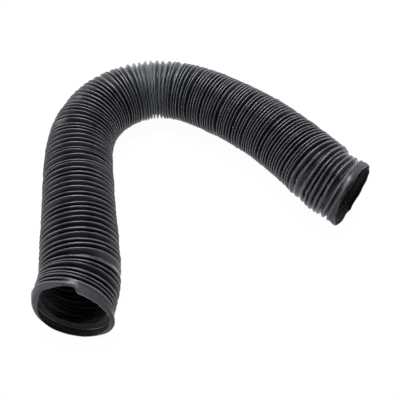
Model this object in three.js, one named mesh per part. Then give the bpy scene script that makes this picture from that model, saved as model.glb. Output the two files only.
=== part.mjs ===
// A flexible duct hose: a folded sleeve of coated cloth over a helix of spring wire.
// It lies on the floor in an open bend, with a mouth at each end.
// Millimetres and degrees, +Z up. The near leg runs along +Y from the near mouth.
import * as THREE from "three";

// The hose's own sizes
const crestDiameter = 106;
const foldDepth = 7;
const clothThickness = 0.8;
const hoseLength = 914.4;
const wireDiameter = 1.4;
const wireClearance = 0.3;

// The bare cloth at each mouth, past the cut end of the wire
const nearEndCloth = 7.5;
const farEndCloth = 6;

// The wire's pitch: the hose is drawn out along the near leg and the bend, and pushed together
// along the far leg. The pitch changes again next to each mouth.
const openPitch = 8.8;
const closedPitch = 6.1;
const closingStart = 460;
const closingLength = 200;
const nearMouthPitch = 5;
const nearMouthLength = 80;
const farMouthPitch = 9;
const farMouthLength = 120;

// The route on the floor. It curls a little at each mouth, and between them it has three bends
// that run into each other. Each starts at a distance from the near mouth and eases in and out.
const legHeading = 90;
const nearCurlLength = 80;
const nearCurlTurn = 19.9;
const firstBendStart = 190;
const firstBendLength = 393;
const firstBendTurn = -85.2;
const secondBendStart = 393;
const secondBendLength = 269;
const secondBendTurn = -50.9;
const thirdBendStart = 589;
const thirdBendLength = 266;
const thirdBendTurn = -19.4;
const farCurlLength = 98;
const farCurlTurn = 15.3;

// The soft rings next to a mouth lean back from it
const nearLean = 10.4;
const farLean = 4;
const leanLength = 110;

// How finely the round shapes are divided: the wire starts on the column at the top
const columns = 12;
const topColumn = columns / 4;
const routeStep = 0.5;

const crestRadius = crestDiameter / 2;
const wireRadius = wireDiameter / 2;
const startHeading = legHeading - nearCurlTurn;
const bends = [
  { start: 0, length: nearCurlLength, turn: nearCurlTurn },
  { start: firstBendStart, length: firstBendLength, turn: firstBendTurn },
  { start: secondBendStart, length: secondBendLength, turn: secondBendTurn },
  { start: thirdBendStart, length: thirdBendLength, turn: thirdBendTurn },
  { start: hoseLength - farCurlLength, length: farCurlLength, turn: farCurlTurn },
];
const { degToRad: radians, lerp } = THREE.MathUtils;

// Runs from 0 to 1 with no jump in slope at either end
function ease(x) {
  const t = THREE.MathUtils.clamp(x, 0, 1);
  return t - Math.sin(2 * Math.PI * t) / (2 * Math.PI);
}

// The direction of the route at a distance from the near mouth, in radians
function heading(distance) {
  const degrees = bends.reduce(
    (sum, bend) => sum + bend.turn * ease((distance - bend.start) / bend.length),
    startHeading,
  );
  return radians(degrees);
}

// The route's points in plan, one every routeStep, found by walking along the heading
const routePoints = [new THREE.Vector2(0, 0)];
for (let walked = 0; walked < hoseLength; walked += routeStep) {
  const direction = heading(walked + routeStep / 2);
  const step = new THREE.Vector2(Math.cos(direction), Math.sin(direction));
  routePoints.push(routePoints.at(-1).clone().addScaledVector(step, routeStep));
}

function routeAt(distance) {
  const place = distance / routeStep;
  const index = Math.min(Math.floor(place), routePoints.length - 2);
  return routePoints[index].clone().lerp(routePoints[index + 1], place - index);
}

// The wire's pitch at a distance from the near mouth
function pitchAt(distance) {
  const closing = ease((distance - closingStart) / closingLength);
  const nearShare = 1 - ease(distance / nearMouthLength);
  const farShare = 1 - ease((hoseLength - distance) / farMouthLength);
  return (
    lerp(openPitch, closedPitch, closing) +
    nearShare * (nearMouthPitch - openPitch) +
    farShare * (farMouthPitch - closedPitch)
  );
}

// How far along the route the wire is after each step. A step is a column's share of one turn.
const stepDistances = [];
for (let at = nearEndCloth; at <= hoseLength - farEndCloth; at += pitchAt(at) / columns) {
  stepDistances.push(at);
}
const wireSteps = stepDistances.length - 1;

// How far the ring at a distance leans, in radians: its top tips towards the middle of the hose
function lean(distance) {
  const near = nearLean * (1 - ease(distance / leanLength));
  const far = farLean * (1 - ease((hoseLength - distance) / leanLength));
  return radians(near - far);
}

// The ring at a distance: its centre, which keeps its crest on the floor, and its directions
function ringAt(distance) {
  const direction = heading(distance);
  const tip = lean(distance);
  const plan = routeAt(distance);
  const right = new THREE.Vector3(Math.sin(direction), -Math.cos(direction), 0);
  const up = new THREE.Vector3(
    Math.cos(direction) * Math.sin(tip),
    Math.sin(direction) * Math.sin(tip),
    Math.cos(tip),
  );
  return {
    centre: new THREE.Vector3(plan.x, plan.y, crestRadius * Math.cos(tip)),
    right,
    up,
    onward: up.clone().cross(right),
  };
}

// The direction out of a ring at a column: column 0 is on the right, and topColumn at the top
function outward(ring, column) {
  const angle = (2 * Math.PI * column) / columns;
  return ring.right
    .clone()
    .multiplyScalar(Math.cos(angle))
    .addScaledVector(ring.up, Math.sin(angle));
}

// A point of the crest line at a distance and a column
function crestPoint(distance, column) {
  const ring = ringAt(distance);
  return ring.centre.addScaledVector(outward(ring, column), crestRadius);
}

// How much longer a fold's side is than half of its pitch
function slantOf(pitch) {
  return Math.hypot(pitch / 2, foldDepth) / (pitch / 2);
}

// The slant of the side of a fold at a distance and a column. The folds close up on the inside of
// a bend, and their sides stand steeper there.
function sideSlant(distance, column) {
  const ahead = crestPoint(distance + routeStep, column);
  const behind = crestPoint(distance - routeStep, column);
  const stretch = ahead.distanceTo(behind) / (2 * routeStep);
  return slantOf(pitchAt(distance) * stretch);
}

// The sleeve's wall measured along a radius, where it slants down the side of an open fold
const radialWall = clothThickness * slantOf(openPitch);

// A column of the sleeve, from edge to edge: crests lie over the wire, one for each of its turns,
// with a valley between two crests. The cloth past the first and last crest stands straight.
function columnPoints(column) {
  const points = [{ step: -Infinity, distance: 0, radius: crestRadius }];
  const firstStep = (column - topColumn + columns) % columns;
  for (let step = firstStep; step <= wireSteps; step += columns) {
    points.push({ step, distance: stepDistances[step], radius: crestRadius });
    if (step + columns <= wireSteps) {
      const middle = step + columns / 2;
      points.push({
        step: middle,
        distance: stepDistances[middle],
        radius: crestRadius - foldDepth,
      });
    }
  }
  points.push({ step: Infinity, distance: hoseLength, radius: crestRadius });
  return points;
}

// One face of the sleeve: the outer one, or the one that lies a wall inside it.
// Neighbouring columns are joined along the folds, one step apart.
function addSleeveFace(vertices, triangles, inset, facesOut) {
  const faceColumns = [];
  for (let column = 0; column < columns; column++) {
    const points = columnPoints(column);
    for (const point of points) {
      const ring = ringAt(point.distance);
      const out = outward(ring, column);
      point.index = vertices.length;
      vertices.push(ring.centre.addScaledVector(out, point.radius - inset));
    }
    faceColumns.push(points);
  }
  const add = (a, b, c) => triangles.push(facesOut ? [a, c, b] : [a, b, c]);
  faceColumns.forEach((left, column) => {
    const right = faceColumns[(column + 1) % columns];
    let i = 0;
    let j = 0;
    while (i < left.length - 1 || j < right.length - 1) {
      const leftStep = i < left.length - 1 ? left[i + 1].step + 1 : Infinity;
      const rightStep = j < right.length - 1 ? right[j + 1].step : Infinity;
      const moveLeft = i < left.length - 1 && leftStep <= rightStep;
      const moveRight = j < right.length - 1 && rightStep <= leftStep;
      if (moveLeft) {
        add(left[i].index, right[j].index, left[i + 1].index);
        i++;
      }
      if (moveRight) {
        add(left[i].index, right[j].index, right[j + 1].index);
        j++;
      }
    }
  });
  return faceColumns;
}

function geometryOf(vertices, triangles) {
  return new THREE.BufferGeometry().setFromPoints(vertices).setIndex(triangles.flat());
}

// The sleeve: its outer and inner faces, joined by the cut edge round each mouth
function sleeveGeometry() {
  const vertices = [];
  const triangles = [];
  const outer = addSleeveFace(vertices, triangles, 0, true);
  const inner = addSleeveFace(vertices, triangles, radialWall, false);
  for (let column = 0; column < columns; column++) {
    const next = (column + 1) % columns;
    const corners = [outer[column], outer[next], inner[next], inner[column]];
    const near = corners.map((points) => points[0].index);
    const far = corners.map((points) => points.at(-1).index);
    triangles.push([near[0], near[1], near[2]], [near[0], near[2], near[3]]);
    triangles.push([far[0], far[2], far[1]], [far[0], far[3], far[2]]);
  }
  return geometryOf(vertices, triangles);
}

// The wire: a four-sided section of the round wire's own area, carried round the helix.
// It seats under the crest, clear of both sides of the fold.
function wireGeometry() {
  const reach = wireRadius * Math.sqrt(Math.PI / 2);
  const sides = 4;
  const vertices = [];
  const triangles = [];
  for (let step = 0; step <= wireSteps; step++) {
    const column = topColumn + step;
    const distance = stepDistances[step];
    const ring = ringAt(distance);
    const out = outward(ring, column);
    const seat = (wireRadius + wireClearance) * sideSlant(distance, column);
    const centre = ring.centre.addScaledVector(out, crestRadius - radialWall - seat);
    for (let side = 0; side < sides; side++) {
      const angle = (2 * Math.PI * side) / sides;
      vertices.push(
        centre
          .clone()
          .addScaledVector(out, reach * Math.cos(angle))
          .addScaledVector(ring.onward, reach * Math.sin(angle)),
      );
    }
  }
  const last = vertices.length - sides;
  for (let base = 0; base < last; base += sides) {
    for (let side = 0; side < sides; side++) {
      const next = (side + 1) % sides;
      triangles.push([base + side, base + sides + next, base + sides + side]);
      triangles.push([base + side, base + next, base + sides + next]);
    }
  }
  triangles.push([0, 2, 1], [0, 3, 2]);
  triangles.push([last, last + 1, last + 2], [last, last + 2, last + 3]);
  return geometryOf(vertices, triangles);
}

const blackCloth = new THREE.MeshStandardMaterial({
  color: 0x1d1e22,
  roughness: 0.5,
  metalness: 0,
});
const springSteel = new THREE.MeshStandardMaterial({
  color: 0x3a3b3e,
  roughness: 0.4,
  metalness: 0.9,
});

const sleeve = new THREE.Mesh(sleeveGeometry(), blackCloth);
sleeve.name = "cloth_sleeve";
const wire = new THREE.Mesh(wireGeometry(), springSteel);
wire.name = "wire_helix";

const hose = new THREE.Group();
hose.add(sleeve, wire);

// The origin is on the floor, under the middle of the hose's box
const box = new THREE.Box3().setFromObject(hose);
const middle = box.getCenter(new THREE.Vector3());
hose.position.set(-middle.x, -middle.y, -box.min.z);

export default hose;
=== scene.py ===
"""A flexible duct hose: a sleeve of coated cloth folded over a helix of spring wire.

The sizes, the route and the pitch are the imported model's own, in metres. Uneven folds, wrinkles
and the loose cloth at the mouths are added to them here.
"""

import math

import bpy
import numpy as np
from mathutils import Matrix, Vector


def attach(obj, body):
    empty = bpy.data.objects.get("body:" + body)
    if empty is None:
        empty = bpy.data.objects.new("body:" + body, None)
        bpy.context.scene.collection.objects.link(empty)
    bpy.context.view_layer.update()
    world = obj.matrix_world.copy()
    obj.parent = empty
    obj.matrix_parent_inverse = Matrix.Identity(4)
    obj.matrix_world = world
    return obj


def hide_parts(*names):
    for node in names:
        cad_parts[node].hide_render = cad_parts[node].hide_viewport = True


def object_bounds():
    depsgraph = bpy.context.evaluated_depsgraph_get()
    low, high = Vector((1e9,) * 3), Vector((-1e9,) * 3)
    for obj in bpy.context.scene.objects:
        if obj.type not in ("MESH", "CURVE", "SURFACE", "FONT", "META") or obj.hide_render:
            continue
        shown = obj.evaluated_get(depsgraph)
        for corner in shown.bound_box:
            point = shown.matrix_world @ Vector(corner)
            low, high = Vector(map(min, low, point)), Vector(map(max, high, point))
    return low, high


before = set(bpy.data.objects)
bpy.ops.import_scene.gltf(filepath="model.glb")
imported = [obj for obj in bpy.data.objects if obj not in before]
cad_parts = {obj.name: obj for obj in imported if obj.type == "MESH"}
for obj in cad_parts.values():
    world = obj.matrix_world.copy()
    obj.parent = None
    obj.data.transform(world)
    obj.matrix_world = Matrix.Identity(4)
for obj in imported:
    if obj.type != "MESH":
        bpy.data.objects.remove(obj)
cad_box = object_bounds()

# The hose's own sizes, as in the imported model
CREST_RADIUS = 0.053
CLOTH_THICKNESS = 0.0008
HOSE_LENGTH = 0.9144
WIRE_RADIUS = 0.0007
NEAR_END_CLOTH = 0.0075
FAR_END_CLOTH = 0.006

# The wire's pitch: open along the near leg and the bend, closed along the far leg. The wire runs
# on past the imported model's by the last share of a turn.
OPEN_PITCH = 0.0088
CLOSED_PITCH = 0.0061
CLOSING_START = 0.460
CLOSING_LENGTH = 0.200
NEAR_MOUTH_PITCH = 0.005
NEAR_MOUTH_LENGTH = 0.080
FAR_MOUTH_PITCH = 0.009
FAR_MOUTH_LENGTH = 0.120
STEPS_PER_TURN = 12
LAST_SHARE = 0.13

# The route on the floor, walked in small steps. A bend is where it starts, how far it takes and
# how many degrees it turns.
ROUTE_STEP = 0.0005
LEG_HEADING = 90
NEAR_CURL_TURN = 19.9
FAR_CURL_LENGTH = 0.098
BENDS = (
    (0.0, 0.080, NEAR_CURL_TURN),
    (0.190, 0.393, -85.2),
    (0.393, 0.269, -50.9),
    (0.589, 0.266, -19.4),
    (HOSE_LENGTH - FAR_CURL_LENGTH, FAR_CURL_LENGTH, 15.3),
)

# The rings next to a mouth lean back from it: degrees at each mouth, and over what length
NEAR_LEAN = 10.4
FAR_LEAN = 4.0
LEAN_LENGTH = 0.110

# The cloth between two turns of wire, measured over the fold, and how it rounds off
CLOTH_PER_TURN = 0.0178
CREST_ROUND = 0.0012
VALLEY_ROUND = 0.0010

# What a fold keeps where it is nearly closed or nearly flat: half its pitch, its depth, and how
# round its crest and its valley may be, as shares of half the pitch. Their arcs together may take
# up nearly the whole side.
LEAST_HALF_PITCH = 0.0011
LEAST_FOLD = 0.0012
LEAST_DEPTH = 0.0004
SHALLOW_DEPTH = 0.003
LEAST_SHALLOW = 0.05
WIDEST_CREST = 0.45
WIDEST_VALLEY = 0.3
LEAST_INNER_CREST = 0.00005
MOST_ARC = 0.98

# Loose cloth hangs in shallower and rounder folds
LOOSE_DEPTH_LOSS = 0.3
LOOSE_ROUNDING = 0.9

# How finely the sleeve is divided: columns round it, a whole number of them to each wire step
COLUMNS = 48

# The wire: where round the near mouth it starts, and how many sides its round section has
WIRE_START = math.radians(77)
WIRE_SIDES = 6

# How strong the painted highlight is, where 1 is the outer face over the wire: the inner face's share
# of it, the bare cloth at a mouth, and what the hem adds next to the edge. The painted highlight line
# over the wire is this deep.
INNER_HIGHLIGHT = 0.15
COLLAR_HIGHLIGHT = 0.05
HEM_HIGHLIGHT = 0.9
HEM_POWER = 10
HIGHLIGHT_DEPTH = 0.0006

# How much duller than the folds the inner face is, and the bare cloth at a mouth
INNER_DULL = 0.4
COLLAR_DULL = 0.3

# Where the wire ends, the groove beside it fades out over so many columns
FADE_STEPS = 6.0

# Noise along the hose: its size, how many random heights it has in a turn, and its seed. Only the
# crest's is in metres: the spacing's is a share of the pitch, and the others are shares of a fold.
# The crests lie a little inside the radius, as the noise also raises them.
NOISE_HEIGHTS = 4096
SPACING_NOISE = (0.30, 1.0, 11)
SLOW_SPACING_NOISE = (0.22, 0.37, 21)
CREST_NOISE = (0.0008, 0.8, 31)
CREST_INSET = 0.0004
DEPTH_NOISE = (0.13, 1.3, 41)
FINE_DEPTH_NOISE = (0.10, 19, 42)
SKEW_NOISE = (0.225, 1.7, 61)
FINE_SKEW_NOISE = (0.175, 11, 62)

# Noise in space: how large its lumps are and its seed, then how high it is anywhere, as well on
# the side of a fold, and as well where the cloth is loose
LUMPS = (0.018, 71, 0.0004, 0.0, 0.0010)
WRINKLES = (0.0075, 72, 0.0001, 0.0003, 0.0006)
NOISE_CELLS = 24

# The sides of the folds also wander along the hose: lump size and seed, by how much, and by how
# much more where the cloth is loose. Cloth this deep counts as the side of a fold.
SLIDE_SIZE = 0.011
SLIDE_SEED = 73
SLIDE = 0.0006
LOOSE_SLIDE = 0.0010
FLANK_DEPTH = 0.004

# Gaps that are wider than the rest: after how many turns, and by what share of the pitch. The
# turns near such a gap make room for it, and the turns at the ends stay in their places.
WIDE_GAPS = (
    (6.5, 0.1),
    (31.0, 0.15),
    (58.5, 0.2),
    (80.0, 0.35),
    (86.0, 0.5),
    (97.0, 0.8),
    (110.6, 0.3),
)
WIDE_GAP_REACH = 4
HELD_TURNS = 1.5

# The top of the last turns is pressed in: how deep, from how far before the far mouth, and over
# what length it gets there, then its middle and half width round the ring, in degrees
DENT_DEPTH = 0.0062
DENT_LENGTH = 0.052
DENT_EASE = 0.016
DENT_SIDE = (128, 75)

# The loose folds low on the far end stand out: how far, from where, over what length, and where
# round the ring
BULGE_HEIGHT = 0.0034
BULGE_START = 0.835
BULGE_EASE = 0.04
BULGE_SIDE = (312, 75)

# Where the cloth is loose: from where, over what length, and where round the ring
LOOSE_START = 0.795
LOOSE_EASE = 0.05
LOOSE_SIDE = (5, 95)

# The bare cloth at a mouth: rows from the wire to the edge, its step down from the wire, and how
# far towards the edge it starts to curl in. The more it curls in, the more its rows follow an arc,
# up to a full curl. It has flared out at a share of the way, and its rim is thicker by a share.
COLLAR_SHARES = (0.0, 0.08, 0.18, 0.32, 0.46, 0.58, 0.68, 0.77, 0.85, 0.92, 1.0)
COLLAR_DROP = 0.0012
COLLAR_DROP_LENGTH = 0.003
NEAR_CURL_START = 0.4
FAR_CURL_START = 0.7
CURL_TURN = math.radians(80)
LEAST_CURL = 0.0004
FULL_CURL = 0.004
FLARE_END = 0.8
RIM_SWELL = 0.9
RIM_POWER = 8

# Loose places round the near mouth: middle and half width in degrees, and size
NEAR_CURLS = ((175, 80, 0.0085), (330, 60, 0.0072))
NEAR_FLARES = ((222, 62, 0.0042), (334, 60, 0.0062), (150, 40, -0.0012))

# At the near mouth the cloth is cut back beside the wire's end, over so many degrees. The edge is
# also a little wavy: the size of a wave, and how many there are round the ring.
CUT_BACK = 0.0058
CUT_BACK_WIDTH = 42
NEAR_WAVE = 0.0004
NEAR_WAVES = 3

# The far mouth's edge: one side is cut back, and the whole edge is wavy. A wave is how many there
# are round the ring, where they start in radians, and their size. The edge also flares by a share
# of the waves.
FAR_EDGE_INSET = 0.0004
FAR_CUT = (20, 120, 0.0025)
FAR_CURLS = ((95, 70, 0.0030), (225, 60, 0.0012))
FAR_FLARES = ((235, 70, 0.0034), (300, 50, 0.0030), (30, 60, 0.0024))
FAR_WAVES = ((5, 1.2, 0.0012), (8, 0.3, 0.0007), (13, 2.0, 0.0003))
FAR_WAVE_FLARE = 0.5

# The last turns lean: they are further from the far mouth's edge at the bottom than at the top
FAR_SLACK = 0.005
FAR_SLACK_TURNS = 7.0

# The camera, in the photograph's own frame: 400 pixels wide
IMAGE_WIDTH = 400
FOCAL_PIXELS = 419.8
SENSOR_WIDTH = 36.0
CAMERA_PITCH = 52.0
CAMERA_YAW = -10.787
CAMERA_FROM_MOUTH = (0.1594, -0.2071)
CAMERA_HEIGHT = 0.5446

# The cloth: black, paler where the painted highlight lies. Noise scales are lumps to the metre.
CLOTH_COLOURS = [
    (0.0, (0.004, 0.0045, 0.0065)),
    (0.3, (0.014, 0.0155, 0.021)),
    (1.0, (0.068, 0.073, 0.089)),
]
PATCH_SCALE = 45.0
# Random patches vary how strong the painted highlight is
HIGHLIGHT_PATCH_RANGE = {"From_Min": 0.3, "From_Max": 0.6, "To_Min": 0.5}
CLOTH_ROUGHNESS = {"To_Min": 0.26, "To_Max": 0.42}
GRAIN_SCALE = 900.0
GRAIN_BUMP = {"Strength": 0.2, "Distance": 0.0002}
CREASE_SCALE = 170.0
CREASE_BUMP = {"Strength": 0.3, "Distance": 0.001}
SHEEN_TINT = (0.78, 0.86, 1.0, 1.0)

# The spring wire
WIRE_COLOURS = [(0.3, (0.12, 0.12, 0.125)), (0.7, (0.22, 0.22, 0.225))]
WIRE_MARK_SCALE = 400.0
WIRE_ROUGHNESS = {"To_Min": 0.3, "To_Max": 0.5}

# The stage: a floor that glows white, a surround that is pale up to a height and dim above it,
# and the lights, each given by its place, its size and its power
FLOOR_REACH = 6.0
FLOOR_DROP = 0.0005
FLOOR_GLOW = 0.97
SURROUND = [(0.25, (0.9, 0.9, 0.9)), (0.45, (0.05, 0.05, 0.05))]
LIGHT_AIM = (0.0, 0.0, 0.05)
LIGHTS = (
    ("top_light", (0.0, 0.6, 1.5), 1.0, 42.0),
    ("back_light", (0.2, 2.2, 0.6), 2.0, 26.0),
    ("right_light", (1.5, 0.35, 0.9), 0.8, 12.0),
    ("left_light", (-1.5, 0.25, 0.9), 0.8, 12.0),
)


def ease(x):
    """Runs from 0 to 1 with no jump in slope at either end."""
    t = np.clip(x, 0.0, 1.0)
    return t - np.sin(2 * np.pi * t) / (2 * np.pi)


def heading(distance):
    """The direction of the route at a distance from the near mouth, in radians."""
    turned = sum(turn * ease((distance - start) / length) for start, length, turn in BENDS)
    return np.radians(LEG_HEADING - NEAR_CURL_TURN + turned)


def lean(distance):
    """How far the ring at a distance leans towards the middle of the hose, in radians."""
    near = NEAR_LEAN * (1 - ease(distance / LEAN_LENGTH))
    far = FAR_LEAN * (1 - ease((HOSE_LENGTH - distance) / LEAN_LENGTH))
    return np.radians(near - far)


def pitch_at(distance):
    """The wire's pitch at a distance from the near mouth."""
    closing = ease((distance - CLOSING_START) / CLOSING_LENGTH)
    near_share = 1 - ease(distance / NEAR_MOUTH_LENGTH)
    far_share = 1 - ease((HOSE_LENGTH - distance) / FAR_MOUTH_LENGTH)
    return (
        OPEN_PITCH
        + closing * (CLOSED_PITCH - OPEN_PITCH)
        + near_share * (NEAR_MOUTH_PITCH - OPEN_PITCH)
        + far_share * (FAR_MOUTH_PITCH - CLOSED_PITCH)
    )


def offset(distance, angle, radius):
    """How far a point of a ring is from the route's own point on the floor."""
    direction, tip = heading(distance), lean(distance)
    sideways, upward = radius * np.cos(angle), radius * np.sin(angle)
    x = sideways * np.sin(direction) + upward * np.cos(direction) * np.sin(tip)
    y = -sideways * np.cos(direction) + upward * np.sin(direction) * np.sin(tip)
    z = CREST_RADIUS * np.cos(tip) + upward * np.cos(tip)
    return x, y, z


def walk_route():
    """The route's distances and its points in plan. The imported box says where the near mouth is."""
    distances = np.arange(0.0, HOSE_LENGTH + ROUTE_STEP, ROUTE_STEP)
    directions = heading(distances[:-1] + ROUTE_STEP / 2)
    corners = 2 * np.pi * np.arange(STEPS_PER_TURN) / STEPS_PER_TURN
    rim_x, rim_y, _ = offset(0.0, corners, CREST_RADIUS)
    start_x, start_y = cad_box[0].x - rim_x.min(), cad_box[0].y - rim_y.min()
    x = start_x + np.concatenate([[0.0], np.cumsum(ROUTE_STEP * np.cos(directions))])
    y = start_y + np.concatenate([[0.0], np.cumsum(ROUTE_STEP * np.sin(directions))])
    return distances, x, y


def walk_wire():
    """How far along the route the wire is after each of its steps."""
    places = []
    at = NEAR_END_CLOTH
    while at <= HOSE_LENGTH - FAR_END_CLOTH:
        places.append(at)
        at += pitch_at(at) / STEPS_PER_TURN
    return np.array(places)


ROUTE = walk_route()
WIRE_PLACES = walk_wire()
WIRE_TURNS = (len(WIRE_PLACES) - 1) / STEPS_PER_TURN + LAST_SHARE
STEPS = round(WIRE_TURNS * COLUMNS)


def place(distance, angle, radius):
    """Points at a distance along the route, an angle round the ring and a radius from its centre."""
    x, y, z = offset(distance, angle, radius)
    x = x + np.interp(distance, ROUTE[0], ROUTE[1])
    y = y + np.interp(distance, ROUTE[0], ROUTE[2])
    return np.stack([x, y, z], axis=-1)


def stretch(distance, angle):
    """How much longer the sleeve is at an angle than the route is, over the same stretch."""
    half = 0.002
    ahead = place(distance + half, angle, CREST_RADIUS)
    behind = place(distance - half, angle, CREST_RADIUS)
    return np.linalg.norm(ahead - behind, axis=-1) / (2 * half)


def smooth_noise(turn, noise):
    """A smooth curve along the hose through random heights."""
    size, rate, seed = noise
    heights = np.random.default_rng(seed).uniform(-1, 1, NOISE_HEIGHTS)
    whole = np.floor(turn * rate).astype(int)
    part = turn * rate - whole
    part = part * part * (3 - 2 * part)
    before = heights[whole % NOISE_HEIGHTS]
    after = heights[(whole + 1) % NOISE_HEIGHTS]
    return size * (before * (1 - part) + after * part)


def ring_noise(turn, angle, noise):
    """Noise along the hose that also changes round each ring."""
    size, rate, seed = noise
    even = smooth_noise(turn, (size, rate, seed))
    across = smooth_noise(turn, (size, rate, seed + 1)) * np.cos(angle)
    upright = smooth_noise(turn, (size, rate, seed + 2)) * np.sin(angle)
    return (even + across + upright) / 2


def space_noise(points, size, seed):
    """Smooth noise in space, from -1 to 1, whose lumps are about so large."""
    shape = (NOISE_CELLS, NOISE_CELLS, NOISE_CELLS)
    lattice = np.random.default_rng(seed).uniform(-1, 1, shape)
    scaled = points / size
    whole = np.floor(scaled).astype(int)
    part = scaled - whole
    part = part * part * (3 - 2 * part)
    total = np.zeros(points.shape[:-1])
    for corner in np.ndindex(2, 2, 2):
        weight = np.prod(np.where(np.array(corner) == 1, part, 1 - part), axis=-1)
        x, y, z = np.moveaxis((whole + corner) % NOISE_CELLS, -1, 0)
        total += weight * lattice[x, y, z]
    return total


def crumple(points, noise, flank, loose):
    """How high the lumps or wrinkles of the cloth are at some points."""
    size, seed, anywhere, on_flank, when_loose = noise
    height = anywhere + on_flank * flank + when_loose * loose
    return height * space_noise(points, size, seed)


def bump(angle, middle, half_width):
    """A smooth bump round the ring: 1 at its middle, 0 past its half width. Both are in degrees."""
    away = np.abs((np.degrees(angle) - middle + 180) % 360 - 180)
    return 1 - ease(away / half_width)


def dent(distance, angle):
    """How far the top of the last turns is pressed in, next to the far mouth."""
    along = ease((distance - (HOSE_LENGTH - DENT_LENGTH)) / DENT_EASE)
    return DENT_DEPTH * along * bump(angle, *DENT_SIDE)


def bulge(distance, angle):
    """How far the loose folds stand out, low on the side of the far end that faces the near leg."""
    along = ease((distance - BULGE_START) / BULGE_EASE)
    return BULGE_HEIGHT * along * bump(angle, *BULGE_SIDE)


def looseness(distance, angle):
    """From 0 to 1: how loose the cloth is. The lower side next to the far mouth is loosest."""
    return ease((distance - LOOSE_START) / LOOSE_EASE) * bump(angle, *LOOSE_SIDE)


def turn_distance(turn, angle):
    """How far along the route the wire is after so many turns. The turns aren't evenly spaced."""
    base = np.interp(turn * STEPS_PER_TURN, np.arange(len(WIRE_PLACES)), WIRE_PLACES)
    shift = ring_noise(turn, angle, SPACING_NOISE) + ring_noise(turn, angle, SLOW_SPACING_NOISE)
    for after, share in WIDE_GAPS:
        away = (turn - after - 0.5) / WIDE_GAP_REACH
        shift = shift + share * (ease(turn - after) - 0.5) * np.exp(-(away**2))
    ends = np.clip(np.minimum(turn, WIRE_TURNS - turn) / HELD_TURNS, 0, 1)
    slack = FAR_SLACK * (1 - np.sin(angle)) * ease((turn - WIRE_TURNS) / FAR_SLACK_TURNS + 1)
    return base + pitch_at(base) * shift * ends - slack


def crest_radius(turn, angle):
    """The sleeve's radius over the wire, which is never quite round."""
    return CREST_RADIUS - CREST_INSET + ring_noise(turn, angle, CREST_NOISE)


def fold_profile(half_pitch, depth, crest_round, valley_round, arc_shares, flank_shares):
    """Points down one side of a fold: along the crest's arc, down the flank, along the valley's arc.
    Gives how far along and how far down each is, with the points on the last axis."""
    rounds = crest_round + valley_round
    down = depth - rounds
    span = np.hypot(half_pitch, down)
    slope = np.arctan2(down, half_pitch) + np.arcsin(np.clip(rounds / span, -1, MOST_ARC))
    crest_turned = slope[..., None] * np.asarray(arc_shares[0])
    valley_turned = slope[..., None] * np.asarray(arc_shares[1])
    crest_along = crest_round[..., None] * np.sin(crest_turned)
    crest_below = crest_round[..., None] * (1 - np.cos(crest_turned))
    valley_along = half_pitch[..., None] - valley_round[..., None] * np.sin(valley_turned)
    valley_below = depth[..., None] - valley_round[..., None] * (1 - np.cos(valley_turned))
    share = np.asarray(flank_shares)
    flank_along = crest_along[..., -1:] * (1 - share) + valley_along[..., :1] * share
    flank_below = crest_below[..., -1:] * (1 - share) + valley_below[..., :1] * share
    along = np.concatenate([crest_along, flank_along, valley_along], axis=-1)
    below = np.concatenate([crest_below, flank_below, valley_below], axis=-1)
    return along, below


# How finely a fold is divided: shares of the crest's arc and of the valley's, and of the side
OUTER_FOLD = (((0.0, 0.5, 1.0), (1.0, 0.5, 0.0)), (0.5,))
INNER_FOLD = (((0.0,), (1.0, 0.0)), ())


def band_points(steps, fold, inset):
    """The sleeve between each turn of wire and the next one, as rows of points from crest to crest.
    A step is a column's share of a turn. The inset is 0 on the outer face and the cloth's
    thickness on the inner one."""
    turn = steps / COLUMNS
    angle = WIRE_START + 2 * np.pi * turn
    start, end = turn_distance(turn, angle), turn_distance(turn + 1, angle)
    middle = (start + end) / 2
    loose = looseness(middle, angle)
    half_pitch = np.maximum((end - start) * stretch(middle, angle) / 2, LEAST_HALF_PITCH)
    depth = np.sqrt(np.maximum((CLOTH_PER_TURN / 2) ** 2 - half_pitch**2, LEAST_FOLD**2))
    uneven = ring_noise(turn, angle * 2, DEPTH_NOISE) + smooth_noise(turn, FINE_DEPTH_NOISE)
    depth = depth * (1 + uneven) * (1 - LOOSE_DEPTH_LOSS * loose)
    fade = np.clip(np.minimum(steps, STEPS - COLUMNS - steps) / FADE_STEPS, 0, 1)
    depth = np.maximum(depth * ease(fade), LEAST_DEPTH)
    shallow = np.clip(depth / SHALLOW_DEPTH, LEAST_SHALLOW, 1)
    crest = np.minimum(CREST_ROUND * (1 + LOOSE_ROUNDING * loose), WIDEST_CREST * half_pitch)
    valley = np.minimum(VALLEY_ROUND, WIDEST_VALLEY * half_pitch) * shallow
    inner_crest = np.maximum(crest * shallow - inset, LEAST_INNER_CREST)
    along, below = fold_profile(half_pitch, depth, inner_crest, valley + inset, *fold)
    back = slice(-2, 0, -1)
    whole = 2 * half_pitch[:, None]
    along = np.concatenate([along, whole - along[:, back]], axis=1)
    below = np.concatenate([below, below[:, back]], axis=1)
    share = along / whole
    skew = smooth_noise(turn, SKEW_NOISE) + smooth_noise(turn, FINE_SKEW_NOISE)
    share = share + skew[:, None] * share * (1 - share)
    distance = start[:, None] + (end - start)[:, None] * share
    first, last = crest_radius(turn, angle), crest_radius(turn + 1, angle)
    radius = first[:, None] * (1 - share) + last[:, None] * share - below - inset
    angles = np.repeat(angle[:, None], share.shape[1], axis=1)
    return distance, angles, radius, below


def bumps(angle, table):
    """The sum of some bumps round the ring, each given by its middle, half width and size."""
    return sum(size * bump(angle, middle, half_width) for middle, half_width, size in table)


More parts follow.
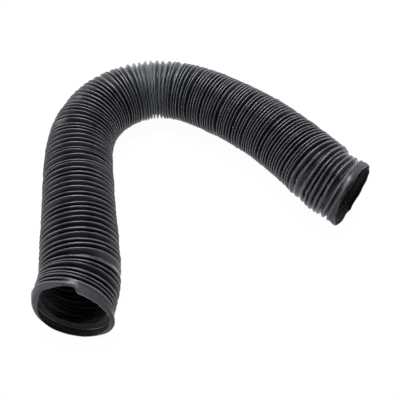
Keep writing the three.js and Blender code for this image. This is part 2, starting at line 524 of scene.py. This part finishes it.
def edge_shape(angle, near):
    """The cut edge of a mouth: how far along the route it is, how far out it flares and how far in
    it curls."""
    if near:
        beside_wire = np.degrees(angle - WIRE_START)
        distance = CUT_BACK * (1 - ease(beside_wire / CUT_BACK_WIDTH))
        distance = distance + NEAR_WAVE * np.cos(NEAR_WAVES * angle)
        return distance, bumps(angle, NEAR_FLARES), LEAST_CURL + bumps(angle, NEAR_CURLS)
    waves = sum(size * np.cos(count * angle + phase) for count, phase, size in FAR_WAVES)
    distance = HOSE_LENGTH - FAR_EDGE_INSET - bumps(angle, (FAR_CUT,)) - np.abs(waves)
    flare = bumps(angle, FAR_FLARES) + FAR_WAVE_FLARE * waves
    return distance, flare, LEAST_CURL + bumps(angle, FAR_CURLS)


def collar_points(steps, near, inset):
    """The bare cloth between a mouth's edge and the turn of wire next to it, from wire to edge.
    Towards the edge it flares out, and at last curls in along an arc."""
    turn = steps / COLUMNS
    angle = WIRE_START + 2 * np.pi * turn
    start = turn_distance(turn, angle)[:, None]
    edge, flare, curl = (values[:, None] for values in edge_shape(angle, near))
    share = np.asarray(COLLAR_SHARES)[None, :]
    curl_start = NEAR_CURL_START if near else FAR_CURL_START
    turned = CURL_TURN * np.clip((share - curl_start) / (1 - curl_start), 0, 1)
    straight = start + (edge - start) * share
    arc_share = curl_start + (1 - curl_start) * np.sin(turned) / math.sin(CURL_TURN)
    arc = start + (edge - start) * np.where(share < curl_start, share, arc_share)
    curled = np.clip(curl / FULL_CURL, 0, 1)
    distance = straight * (1 - curled) + arc * curled
    below = COLLAR_DROP * ease(np.abs(distance - start) / COLLAR_DROP_LENGTH)
    inward = curl * (1 - np.cos(turned)) / (1 - math.cos(CURL_TURN))
    thick = inset * (1 + RIM_SWELL * share**RIM_POWER * (1 - curled))
    radius = crest_radius(turn, angle)[:, None] - below - inward - thick
    radius = radius + flare * ease(share / FLARE_END)
    distance = distance - np.sign(edge - start) * inset * np.sin(turned) * curled
    angles = np.repeat(angle[:, None], share.shape[1], axis=1)
    return distance, angles, radius, below


class Skin:
    """The outer or the inner side of the sleeve: its points and faces, and how much painted highlight
    it has and how dull it is at each point."""

    def __init__(self, fold, inset, facing):
        self.inset, self.facing = inset, facing
        self.points, self.marks, self.dull, self.faces = [], [], [], []
        self.count = 0
        strips = np.arange(STEPS - COLUMNS + 1)
        self.band = self.add_points(band_points(strips, fold, inset))
        near_steps = np.arange(COLUMNS)
        far_steps = np.arange(STEPS - COLUMNS + 1, STEPS + 1)
        self.far = self.add_points(collar_points(far_steps, False, inset), True)
        near = self.add_points([a[:, 1:] for a in collar_points(near_steps, True, inset)], True)
        self.near = np.concatenate([self.band[:COLUMNS, :1], near], axis=1)
        self.join_bands()
        self.join_collar(self.near, True)
        self.join_collar(self.far, False)

    def add_points(self, sampled, collar=False):
        """Adds a table of points, one row for each step, and gives their indices."""
        distance, angles, radius, below = sampled
        base = place(distance, angles, radius)
        loose = looseness(distance, angles)
        flank = np.clip(below / FLANK_DEPTH, 0, 1)
        height = crumple(base, LUMPS, flank, loose) + crumple(base, WRINKLES, flank, loose)
        moved = bulge(distance, angles) - dent(distance, angles)
        free = (SLIDE + LOOSE_SLIDE * loose) * flank
        slide = free * space_noise(base, SLIDE_SIZE, SLIDE_SEED)
        point = place(distance + slide, angles, radius + height + moved)
        point[..., 2] = np.maximum(point[..., 2], self.inset)
        self.points.append(point.reshape(-1, 3))
        # Painted highlight: paler colour along each crest, falling off with depth below it; on a
        # collar it also covers the bare cloth and is strongest at the hem.
        highlight = np.exp(-((below / HIGHLIGHT_DEPTH) ** 2))
        if collar:
            share = np.linspace(0, 1, highlight.shape[1])[None, :]
            highlight = np.maximum(highlight, COLLAR_HIGHLIGHT + HEM_HIGHLIGHT * share**HEM_POWER)
        self.marks.append(highlight.reshape(-1))
        outer_dull = COLLAR_DULL if collar else 0.0
        self.dull.append(np.full(highlight.size, outer_dull if self.facing else INNER_DULL))
        index = self.count + np.arange(highlight.size).reshape(highlight.shape)
        self.count += highlight.size
        return index

    def add_faces(self, corners):
        """Adds faces that are given as rows of corners, in the order that faces out of the hose."""
        corners = np.asarray(corners)
        self.faces.append(corners if self.facing else corners[:, ::-1])

    def join_bands(self):
        """Joins each strip with the next one round the hose, and its last row with the next turn."""
        crest_of = np.concatenate([self.band[:, 0], self.far[:, 0]])
        next_turn = crest_of[COLUMNS : COLUMNS + len(self.band)]
        self.add_faces(as_quads(np.concatenate([self.band, next_turn[:, None]], axis=1)))

    def join_collar(self, table, near):
        """Joins a collar's columns, and closes it where the wire ends."""
        quads = as_quads(table)
        self.add_faces(quads[:, ::-1] if near else quads)
        if near:
            lone = list(table[-1][::-1])
            long = list(table[0][::-1]) + list(self.band[0][1:]) + [self.band[COLUMNS][0]]
            self.fill_strip(lone, long)
        else:
            lone = list(table[0])
            long = list(self.band[-1]) + list(table[-1])
            self.fill_strip(long, lone)

    def fill_strip(self, left, right):
        """Fills the strip between two columns of unlike lengths, left one first going round."""
        points = np.concatenate(self.points)
        left_way = way_along(points[left])
        right_way = way_along(points[right])
        i = j = 0
        while i < len(left) - 1 or j < len(right) - 1:
            step_left = j == len(right) - 1 or (
                i < len(left) - 1 and left_way[i + 1] <= right_way[j + 1]
            )
            if step_left:
                self.add_faces([[left[i], left[i + 1], right[j]]])
                i += 1
            else:
                self.add_faces([[left[i], right[j + 1], right[j]]])
                j += 1


def as_quads(table):
    """Four corners for each cell of a table: here, further along, further round, and back."""
    here, there = table[:-1], table[1:]
    quads = np.stack([here[:, :-1], here[:, 1:], there[:, 1:], there[:, :-1]], axis=2)
    return quads.reshape(-1, 4)


def way_along(points):
    """How far along a row of points each one is, as a share of the row's whole length."""
    lengths = np.linalg.norm(np.diff(points, axis=0), axis=-1)
    way = np.concatenate([[0.0], np.cumsum(lengths)])
    return way / way[-1]


def new_mesh(name, points, face_groups):
    """A mesh object from points and groups of faces, each group a table of corners."""
    corners = np.concatenate([group.reshape(-1) for group in face_groups])
    sizes = np.concatenate([np.full(len(group), group.shape[1]) for group in face_groups])
    mesh = bpy.data.meshes.new(name)
    mesh.vertices.add(len(points))
    mesh.vertices.foreach_set("co", np.asarray(points, np.float32).reshape(-1))
    mesh.loops.add(len(corners))
    mesh.loops.foreach_set("vertex_index", corners.astype(np.int32))
    mesh.polygons.add(len(sizes))
    starts = np.concatenate([[0], np.cumsum(sizes)[:-1]])
    mesh.polygons.foreach_set("loop_start", starts.astype(np.int32))
    mesh.polygons.foreach_set("use_smooth", np.ones(len(sizes), bool))
    mesh.update(calc_edges=True)
    mesh.validate()
    made = bpy.data.objects.new(name, mesh)
    bpy.context.scene.collection.objects.link(made)
    return made


def make_sleeve():
    """The cloth sleeve: its outer and inner faces, joined by the cut edge round each mouth."""
    outer = Skin(OUTER_FOLD, 0.0, True)
    inner = Skin(INNER_FOLD, CLOTH_THICKNESS, False)
    points = np.concatenate(outer.points + inner.points)
    # The inner face gets a weaker share of the painted highlight
    marks = np.concatenate(outer.marks + [mark * INNER_HIGHLIGHT for mark in inner.marks])
    shift = outer.count
    faces = outer.faces + [group + shift for group in inner.faces]
    for outer_edge, inner_edge, near in (
        (outer.near[:, -1], inner.near[:, -1] + shift, True),
        (outer.far[:, -1], inner.far[:, -1] + shift, False),
    ):
        after = np.roll(np.arange(COLUMNS), -1)
        corners = [outer_edge, inner_edge, inner_edge[after], outer_edge[after]]
        rim = np.stack(corners, axis=-1)
        faces.append(rim[:, ::-1] if near else rim)
        # The cut edge round each mouth gets the full painted highlight
        marks[outer_edge] = 1.0
        marks[inner_edge] = 1.0
    sleeve = new_mesh("duct_sleeve", points, faces)
    ridge = sleeve.data.attributes.new("ridge", "FLOAT", "POINT")
    ridge.data.foreach_set("value", marks.astype(np.float32))
    dull = sleeve.data.attributes.new("dull", "FLOAT", "POINT")
    dull.data.foreach_set("value", np.concatenate(outer.dull + inner.dull).astype(np.float32))
    return sleeve


def make_wire():
    """The spring wire: a round tube along the inside of every crest."""
    steps = np.arange(STEPS + 1)
    turn = steps / COLUMNS
    angle = WIRE_START + 2 * np.pi * turn
    distance = turn_distance(turn, angle)
    moved = bulge(distance, angle) - dent(distance, angle)
    radius = crest_radius(turn, angle) - CLOTH_THICKNESS - WIRE_RADIUS + moved
    centre = place(distance, angle, radius)
    centre[:, 2] = np.maximum(centre[:, 2], CLOTH_THICKNESS + WIRE_RADIUS)
    forward = np.gradient(centre, axis=0)
    forward /= np.linalg.norm(forward, axis=-1, keepdims=True)
    outward = place(distance, angle, radius + WIRE_RADIUS) - place(distance, angle, radius)
    outward -= (outward * forward).sum(-1, keepdims=True) * forward
    outward /= np.linalg.norm(outward, axis=-1, keepdims=True)
    sideways = np.cross(forward, outward)
    turned = 2 * np.pi * np.arange(WIRE_SIDES) / WIRE_SIDES
    ring = (
        outward[:, None, :] * np.cos(turned)[None, :, None]
        + sideways[:, None, :] * np.sin(turned)[None, :, None]
    )
    points = (centre[:, None, :] + WIRE_RADIUS * ring).reshape(-1, 3)
    index = np.arange(len(points)).reshape(-1, WIRE_SIDES)
    after = np.roll(index, -1, axis=1)
    sides = np.stack([index[:-1], after[:-1], after[1:], index[1:]], axis=-1).reshape(-1, 4)
    caps = np.stack([index[0][::-1], index[-1]])
    return new_mesh("spring_wire", points, [sides, caps])


def new_material(name):
    """An empty node material with its shader, and a function that adds a linked node to it."""
    material = bpy.data.materials.new(name)
    material.use_nodes = True
    tree = material.node_tree
    shader = tree.nodes["Principled BSDF"]

    def node(kind, settings=None, **links):
        made = tree.nodes.new(kind)
        for key, value in (settings or {}).items():
            if hasattr(made, key):
                setattr(made, key, value)
            else:
                made.inputs[key.replace("_", " ")].default_value = value
        for key, value in links.items():
            tree.links.new(value, made.inputs[key.replace("_", " ")])
        return made

    return material, tree, shader, node


def ramp(made, stops):
    """Sets a colour ramp's stops, as pairs of position and colour."""
    elements = made.color_ramp.elements
    while len(elements) < len(stops):
        elements.new(0.5)
    for element, (position, colour) in zip(elements, stops):
        element.position = position
        element.color = (*colour, 1.0)
    return made


def cloth_material():
    """Black coated cloth: semi-gloss, finely grained, with a painted grey highlight over the wire and
    at the hems.
    """
    material, tree, shader, node = new_material("coated_cloth")
    # The painted highlight, varied in random patches, lifts the base colour from black to grey along
    # the ramp
    ridge = node("ShaderNodeAttribute", {"attribute_name": "ridge"})
    where = node("ShaderNodeTexCoord")
    place_of = where.outputs["Object"]
    patches = node("ShaderNodeTexNoise", {"Scale": PATCH_SCALE, "Detail": 3.0}, Vector=place_of)
    highlight_patches = node("ShaderNodeMapRange", HIGHLIGHT_PATCH_RANGE, Value=patches.outputs["Fac"])
    varied_highlight = node("ShaderNodeMath", {"operation": "MULTIPLY"})
    tree.links.new(ridge.outputs["Fac"], varied_highlight.inputs[0])
    tree.links.new(highlight_patches.outputs["Result"], varied_highlight.inputs[1])
    colour = ramp(node("ShaderNodeValToRGB", Fac=varied_highlight.outputs["Value"]), CLOTH_COLOURS)
    tree.links.new(colour.outputs["Color"], shader.inputs["Base Color"])
    roughness = node("ShaderNodeMapRange", CLOTH_ROUGHNESS, Value=patches.outputs["Fac"])
    dull = node("ShaderNodeAttribute", {"attribute_name": "dull"})
    rougher = node("ShaderNodeMath", {"operation": "ADD"})
    tree.links.new(dull.outputs["Fac"], rougher.inputs[0])
    tree.links.new(roughness.outputs["Result"], rougher.inputs[1])
    tree.links.new(rougher.outputs["Value"], shader.inputs["Roughness"])
    grain = node("ShaderNodeTexNoise", {"Scale": GRAIN_SCALE, "Detail": 1.0}, Vector=place_of)
    fine = node("ShaderNodeBump", GRAIN_BUMP, Height=grain.outputs["Fac"])
    creases = node("ShaderNodeTexNoise", {"Scale": CREASE_SCALE, "Detail": 3.0}, Vector=place_of)
    coarse = node(
        "ShaderNodeBump",
        CREASE_BUMP,
        Height=creases.outputs["Fac"],
        Normal=fine.outputs["Normal"],
    )
    tree.links.new(coarse.outputs["Normal"], shader.inputs["Normal"])
    shader.inputs["Specular IOR Level"].default_value = 0.5
    shader.inputs["Sheen Weight"].default_value = 0.5
    shader.inputs["Sheen Roughness"].default_value = 0.3
    shader.inputs["Sheen Tint"].default_value = SHEEN_TINT
    return material


def wire_material():
    """Dark drawn spring wire."""
    material, tree, shader, node = new_material("spring_steel")
    where = node("ShaderNodeTexCoord")
    place_of = where.outputs["Object"]
    marks = node("ShaderNodeTexNoise", {"Scale": WIRE_MARK_SCALE, "Detail": 2.0}, Vector=place_of)
    colour = ramp(node("ShaderNodeValToRGB", Fac=marks.outputs["Fac"]), WIRE_COLOURS)
    tree.links.new(colour.outputs["Color"], shader.inputs["Base Color"])
    shader.inputs["Metallic"].default_value = 0.9
    roughness = node("ShaderNodeMapRange", WIRE_ROUGHNESS, Value=marks.outputs["Fac"])
    tree.links.new(roughness.outputs["Result"], shader.inputs["Roughness"])
    return material


def make_camera():
    """The photograph's view: from above, in front of the near mouth and to its right."""
    yaw = math.radians(CAMERA_YAW)
    right, ahead = CAMERA_FROM_MOUTH
    camera = bpy.data.objects.new("camera", bpy.data.cameras.new("camera"))
    camera.location = (
        ROUTE[1][0] + right * math.cos(yaw) - ahead * math.sin(yaw),
        ROUTE[2][0] + right * math.sin(yaw) + ahead * math.cos(yaw),
        CAMERA_HEIGHT,
    )
    camera.rotation_euler = (math.radians(90 - CAMERA_PITCH), 0.0, yaw)
    camera.data.sensor_width = SENSOR_WIDTH
    camera.data.lens = SENSOR_WIDTH * FOCAL_PIXELS / IMAGE_WIDTH
    camera.data.clip_start = 0.01
    bpy.context.scene.collection.objects.link(camera)
    bpy.context.scene.camera = camera


def area_light(name, place_at, aim_at, size, power):
    """A soft square light at a place, aimed at a point."""
    light = bpy.data.objects.new(name, bpy.data.lights.new(name, "AREA"))
    light.data.size = size
    light.data.energy = power
    light.location = place_at
    direction = np.array(aim_at) - np.array(place_at)
    light.rotation_euler = (
        math.acos(-direction[2] / np.linalg.norm(direction)),
        0.0,
        math.atan2(direction[1], direction[0]) - math.pi / 2,
    )
    bpy.context.scene.collection.objects.link(light)


def make_stage():
    """A white floor with next to no shadow, a plain surround and soft lights."""
    material, _, shader, _ = new_material("pale_floor")
    shader.inputs["Base Color"].default_value = (0.05, 0.05, 0.05, 1.0)
    shader.inputs["Roughness"].default_value = 0.9
    shader.inputs["Specular IOR Level"].default_value = 0.0
    shader.inputs["Emission Color"].default_value = (1.0, 1.0, 1.0, 1.0)
    shader.inputs["Emission Strength"].default_value = FLOOR_GLOW
    corners = np.array([(-1, -1, 0), (1, -1, 0), (1, 1, 0), (-1, 1, 0)])
    floor = new_mesh("floor", FLOOR_REACH * corners, [np.array([[0, 1, 2, 3]])])
    floor.location.z = -FLOOR_DROP
    floor.data.materials.append(material)
    world = bpy.data.worlds.new("surround")
    world.use_nodes = True
    nodes, links = world.node_tree.nodes, world.node_tree.links
    upward = nodes.new("ShaderNodeSeparateXYZ")
    links.new(nodes.new("ShaderNodeTexCoord").outputs["Generated"], upward.inputs[0])
    sky = ramp(nodes.new("ShaderNodeValToRGB"), SURROUND)
    links.new(upward.outputs["Z"], sky.inputs["Fac"])
    links.new(sky.outputs["Color"], nodes["Background"].inputs["Color"])
    bpy.context.scene.world = world
    for name, place_at, size, power in LIGHTS:
        area_light(name, place_at, LIGHT_AIM, size, power)
    bpy.context.scene.view_settings.view_transform = "Standard"


def main():
    make_camera()
    make_stage()
    sleeve = make_sleeve()
    sleeve.data.materials.append(cloth_material())
    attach(sleeve, "root")
    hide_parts("cloth_sleeve")
    wire = make_wire()
    wire.data.materials.append(wire_material())
    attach(wire, "root")
    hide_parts("wire_helix")


main()
